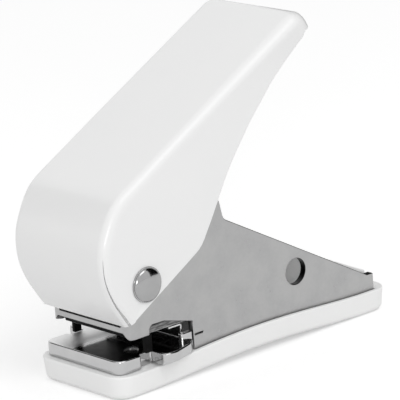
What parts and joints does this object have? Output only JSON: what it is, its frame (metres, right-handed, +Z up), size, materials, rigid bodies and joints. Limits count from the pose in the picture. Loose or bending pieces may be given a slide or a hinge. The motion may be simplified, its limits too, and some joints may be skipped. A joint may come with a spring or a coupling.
{
  "type": "dart flight punch",
  "caption": "Hand lever punch for dart flights: white pressed handle riveted near the nose to a plated sheet frame with a throat, sprung punch and clipped-on base tray.",
  "frame": {"origin": "on the rest plane under the middle of the whole length and width", "axes": "+X from the nose to the rear, +Y to the far side of the picture, +Z up"},
  "size_m": [0.1036, 0.0408, 0.091],
  "materials": {
    "tray_plastic": "smooth satin white",
    "frame_plate": "satin nickel plate",
    "jaw_polished": "bright plated",
    "guide_black": "blackened steel, half gloss",
    "punch_steel": "plain turned steel",
    "spring_wire": "drawn wire",
    "handle_paint": "smooth white enamel, half gloss"
  },
  "bodies": {
    "frame_body": {"frame": "frame_plate", "die_plate": "jaw_polished", "guide_plate": "guide_black", "flight_stop": "jaw_polished", "spring_seat": "punch_steel", "return_spring": "spring_wire", "pivot_rivet": "jaw_polished", "rivet_far_head": "jaw_polished", "pivot_washer_near": "punch_steel", "pivot_washer_far": "punch_steel", "pivot_sleeve": "punch_steel"},
    "handle_body": {"handle_shell": "handle_paint", "press_lever": "punch_steel"},
    "punch_body": {"punch_pin": "punch_steel", "punch_cap": "punch_steel", "punch_ring": "punch_steel"},
    "tray_body": {"base_tray": "tray_plastic"}
  },
  "joints": [
    {"name": "handle_pivot", "type": "hinge", "parent": "frame_body", "child": "handle_body", "pos_m": [-0.03765, 0, 0.0301], "axis": [0, 1, 0], "range_deg": [0, 40], "stiffness_Nm_per_rad": 0.11, "springref_deg": -31.51},
    {"name": "punch_slide", "type": "slide", "parent": "frame_body", "child": "punch_body", "axis": [0, 0, -1], "range_m": [0, 0.0059], "deforming": ["return_spring"]},
    {"name": "tray_release", "type": "slide", "parent": "frame_body", "child": "tray_body", "axis": [0, 0, -1], "range_m": [0, 0.014]}
  ],
  "couplings": [
    {"joint": "punch_slide", "follows": "handle_pivot", "m_per_rad": 0.0084}
  ]
}
